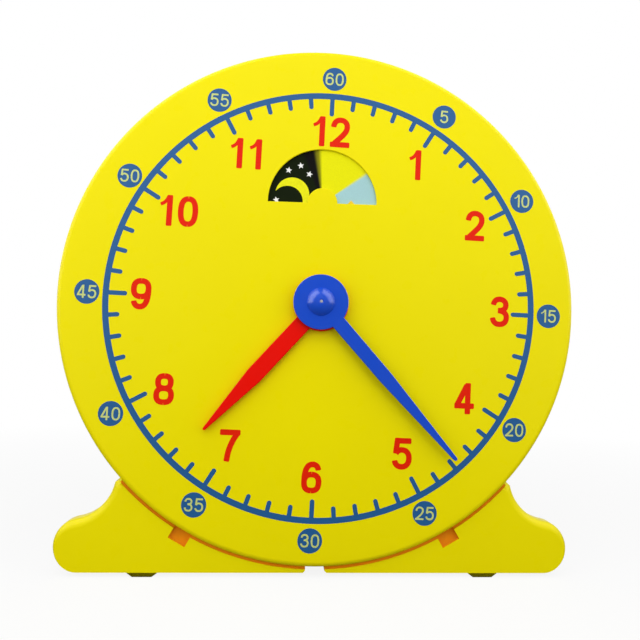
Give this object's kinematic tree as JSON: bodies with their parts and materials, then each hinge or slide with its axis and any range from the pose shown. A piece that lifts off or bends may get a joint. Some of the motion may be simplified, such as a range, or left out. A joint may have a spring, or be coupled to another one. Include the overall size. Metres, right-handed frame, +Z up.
{
  "type": "teaching clock",
  "caption": "Large classroom teaching clock with geared hour and minute hands, a day and night window and two clip-in feet.",
  "frame": {"origin": "on the table, under the middle of the clock's bounding box", "axes": "+Z up, the dial faces -Y, +X to the right as seen from the front"},
  "size_m": [0.3, 0.06, 0.3061],
  "materials": {
    "yellow_plastic": "smooth moulded, satin gloss",
    "red_plastic": "smooth moulded, satin gloss",
    "blue_plastic": "smooth moulded, satin gloss",
    "gear_plastic": "plain moulded",
    "printed_card": "printed, matt",
    "blue_print": "printed ink, satin",
    "red_print": "printed ink, satin",
    "pale_print": "printed ink, satin",
    "steel": "plain plated"
  },
  "bodies": {
    "case": {"front_dial": "yellow_plastic", "rear_cover": "yellow_plastic", "left_foot": "yellow_plastic", "right_foot": "yellow_plastic", "intermediate_washer": "steel", "intermediate_screw": "steel", "day_night_washer": "steel", "day_night_screw": "steel", "cover_screw_1": "steel", "cover_screw_2": "steel", "cover_screw_3": "steel", "cover_screw_4": "steel", "cover_screw_5": "steel", "cover_screw_6": "steel"},
    "minute": {"minute_hand": "blue_plastic", "minute_arbor": "steel", "minute_pinion": "gear_plastic", "friction_spring": "steel", "setting_knob": "blue_plastic", "knob_screw": "steel"},
    "hour": {"hour_hand": "red_plastic", "hour_wheel": "gear_plastic"},
    "intermediate": {"intermediate_gear": "gear_plastic"},
    "day_night": {"day_night_wheel": "gear_plastic", "day_night_disc": "printed_card"}
  },
  "joints": [
    {"name": "minute_turn", "type": "hinge", "parent": "case", "child": "minute", "pos_m": [0, 0, 0.1561], "axis": [0, 1, 0], "continuous": true},
    {"name": "hour_turn", "type": "hinge", "parent": "case", "child": "hour", "pos_m": [0, 0, 0.1561], "axis": [0, 1, 0], "continuous": true},
    {"name": "intermediate_turn", "type": "hinge", "parent": "case", "child": "intermediate", "pos_m": [0, 0, 0.13173], "axis": [0, 1, 0], "continuous": true},
    {"name": "day_night_turn", "type": "hinge", "parent": "case", "child": "day_night", "pos_m": [0, 0, 0.2146], "axis": [0, 1, 0], "continuous": true}
  ],
  "couplings": [
    {"joint": "hour_turn", "follows": "minute_turn", "ratio": 0.083333},
    {"joint": "intermediate_turn", "follows": "minute_turn", "ratio": -0.33333},
    {"joint": "day_night_turn", "follows": "minute_turn", "ratio": -0.041667}
  ]
}
